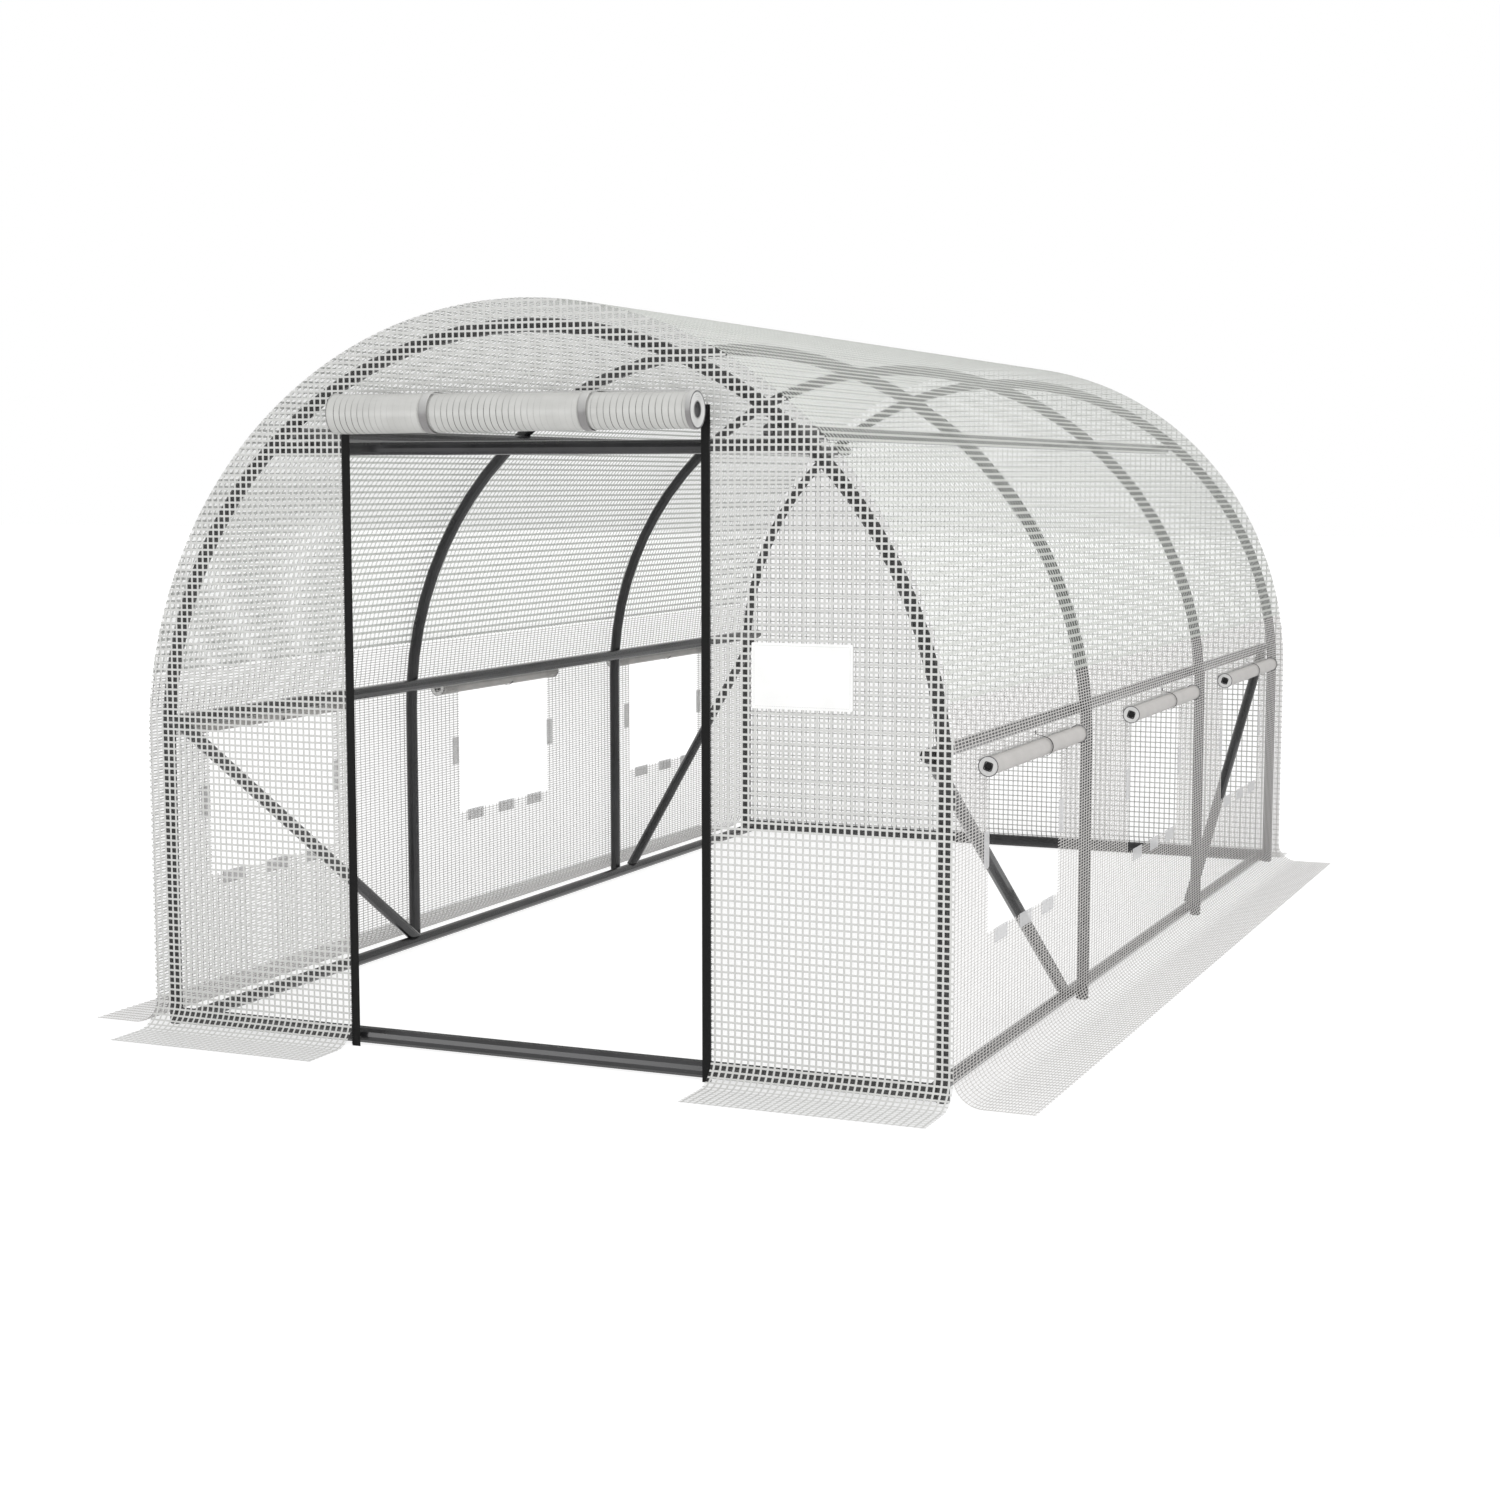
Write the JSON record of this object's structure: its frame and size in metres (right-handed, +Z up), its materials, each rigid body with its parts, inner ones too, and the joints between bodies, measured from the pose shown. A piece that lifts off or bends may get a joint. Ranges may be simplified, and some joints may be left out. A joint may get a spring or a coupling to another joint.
{
  "type": "polytunnel",
  "caption": "Walk-in garden polytunnel: tubular steel hoops, rails and braces under a translucent scrim film cover with ground skirts, a zipped roll-up door and roll-up side windows",
  "frame": {"origin": "on the ground, in the middle of the footprint", "axes": "+Y along the tunnel from the door to the back, +Z up, so the door faces -Y"},
  "size_m": [2.8678, 4.7934, 2.0553],
  "materials": {
    "frame_steel": "charcoal powder coat, satin",
    "cover_film": "clear film with a white woven scrim",
    "rolled_film": "many layers of scrim film, milky",
    "strap_webbing": "woven webbing, dark grey",
    "zip_tape": "black woven zip tape",
    "zip_metal": "dark painted slider"
  },
  "bodies": {
    "structure": {"leg_front_left": "frame_steel", "leg_front_right": "frame_steel", "leg_second_left": "frame_steel", "leg_second_right": "frame_steel", "leg_third_left": "frame_steel", "leg_third_right": "frame_steel", "leg_rear_left": "frame_steel", "leg_rear_right": "frame_steel", "arch_front_left": "frame_steel", "arch_front_right": "frame_steel", "arch_second_left": "frame_steel", "arch_second_right": "frame_steel", "arch_third_left": "frame_steel", "arch_third_right": "frame_steel", "arch_rear_left": "frame_steel", "arch_rear_right": "frame_steel", "ground_rail_left_front": "frame_steel", "ground_rail_left_middle": "frame_steel", "ground_rail_left_rear": "frame_steel", "ground_rail_right_front": "frame_steel", "ground_rail_right_middle": "frame_steel", "ground_rail_right_rear": "frame_steel", "waist_rail_left_front": "frame_steel", "waist_rail_left_middle": "frame_steel", "waist_rail_left_rear": "frame_steel", "waist_rail_right_front": "frame_steel", "waist_rail_right_middle": "frame_steel", "waist_rail_right_rear": "frame_steel", "purlin_left_front": "frame_steel", "purlin_left_middle": "frame_steel", "purlin_left_rear": "frame_steel", "purlin_right_front": "frame_steel", "purlin_right_middle": "frame_steel", "purlin_right_rear": "frame_steel", "sill_front": "frame_steel", "sill_rear": "frame_steel", "door_crossbar": "frame_steel", "brace_front_left": "frame_steel", "brace_front_right": "frame_steel", "brace_rear_left": "frame_steel", "brace_rear_right": "frame_steel", "cover_roof": "cover_film", "cover_side_left": "cover_film", "cover_side_right": "cover_film", "cover_front": "cover_film", "cover_rear": "cover_film", "door_strap_left": "strap_webbing", "door_strap_right": "strap_webbing", "zip_left": "zip_tape", "zip_right": "zip_tape"},
    "door_roll": {"door_roll": "rolled_film"},
    "zip_slider_left": {"zip_slider_left": "zip_metal"},
    "zip_slider_right": {"zip_slider_right": "zip_metal"},
    "window_roll_left_front": {"window_roll_left_front": "rolled_film"},
    "window_roll_left_middle": {"window_roll_left_middle": "rolled_film"},
    "window_roll_left_rear": {"window_roll_left_rear": "rolled_film"},
    "window_roll_right_front": {"window_roll_right_front": "rolled_film"},
    "window_roll_right_middle": {"window_roll_right_middle": "rolled_film"},
    "window_roll_right_rear": {"window_roll_right_rear": "rolled_film"}
  },
  "joints": [
    {"name": "door_roll_drop", "type": "slide", "parent": "structure", "child": "door_roll", "axis": [0, 0, -1], "range_m": [0, 1.63], "deforming": ["door_strap_left", "door_strap_right"]},
    {"name": "zip_slider_left_slide", "type": "slide", "parent": "structure", "child": "zip_slider_left", "axis": [0, 0, -1], "range_m": [0, 1.65]},
    {"name": "zip_slider_right_slide", "type": "slide", "parent": "structure", "child": "zip_slider_right", "axis": [0, 0, -1], "range_m": [0, 1.65]},
    {"name": "window_roll_left_front_drop", "type": "slide", "parent": "structure", "child": "window_roll_left_front", "axis": [0, 0, -1], "range_m": [0, 0.38]},
    {"name": "window_roll_left_middle_drop", "type": "slide", "parent": "structure", "child": "window_roll_left_middle", "axis": [0, 0, -1], "range_m": [0, 0.38]},
    {"name": "window_roll_left_rear_drop", "type": "slide", "parent": "structure", "child": "window_roll_left_rear", "axis": [0, 0, -1], "range_m": [0, 0.38]},
    {"name": "window_roll_right_front_drop", "type": "slide", "parent": "structure", "child": "window_roll_right_front", "axis": [0, 0, -1], "range_m": [0, 0.38]},
    {"name": "window_roll_right_middle_drop", "type": "slide", "parent": "structure", "child": "window_roll_right_middle", "axis": [0, 0, -1], "range_m": [0, 0.38]},
    {"name": "window_roll_right_rear_drop", "type": "slide", "parent": "structure", "child": "window_roll_right_rear", "axis": [0, 0, -1], "range_m": [0, 0.38]}
  ]
}
